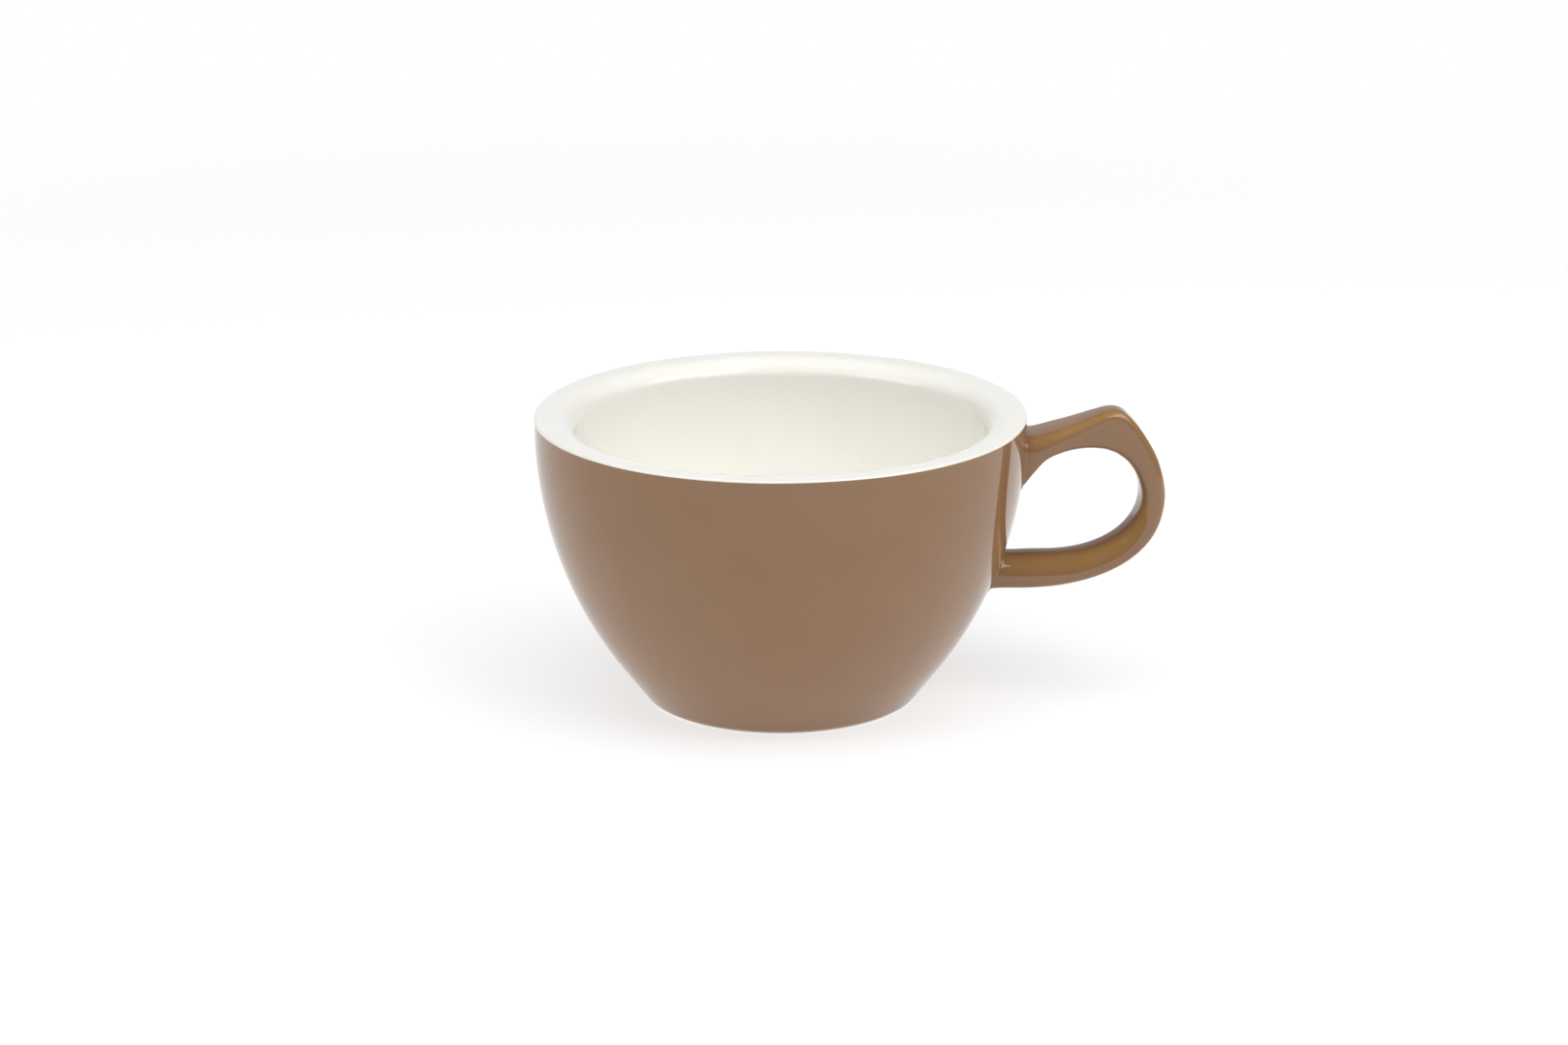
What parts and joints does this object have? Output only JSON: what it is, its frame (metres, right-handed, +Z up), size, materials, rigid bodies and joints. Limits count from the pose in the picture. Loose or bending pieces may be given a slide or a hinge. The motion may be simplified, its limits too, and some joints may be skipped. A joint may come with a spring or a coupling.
{
  "type": "cappuccino cup",
  "caption": "Low thick-walled round coffee cup with a loop handle that rises to a thumb peak, white inside and brown outside.",
  "frame": {"origin": "centre of the foot ring, on the table", "axes": "+Z up along the bowl's axis, +X from the bowl towards the handle"},
  "size_m": [0.1222, 0.095, 0.0565],
  "materials": {
    "porcelain": "matte",
    "slip": "matte",
    "white_glaze": "gloss",
    "brown_glaze": "gloss"
  },
  "bodies": {
    "root": {"bowl": "porcelain", "handle": "porcelain", "upper_handle_joint": "slip", "lower_handle_joint": "slip", "liner_glaze": "white_glaze", "bowl_glaze": "brown_glaze", "handle_glaze": "brown_glaze", "base_glaze": "brown_glaze"}
  },
  "joints": []
}
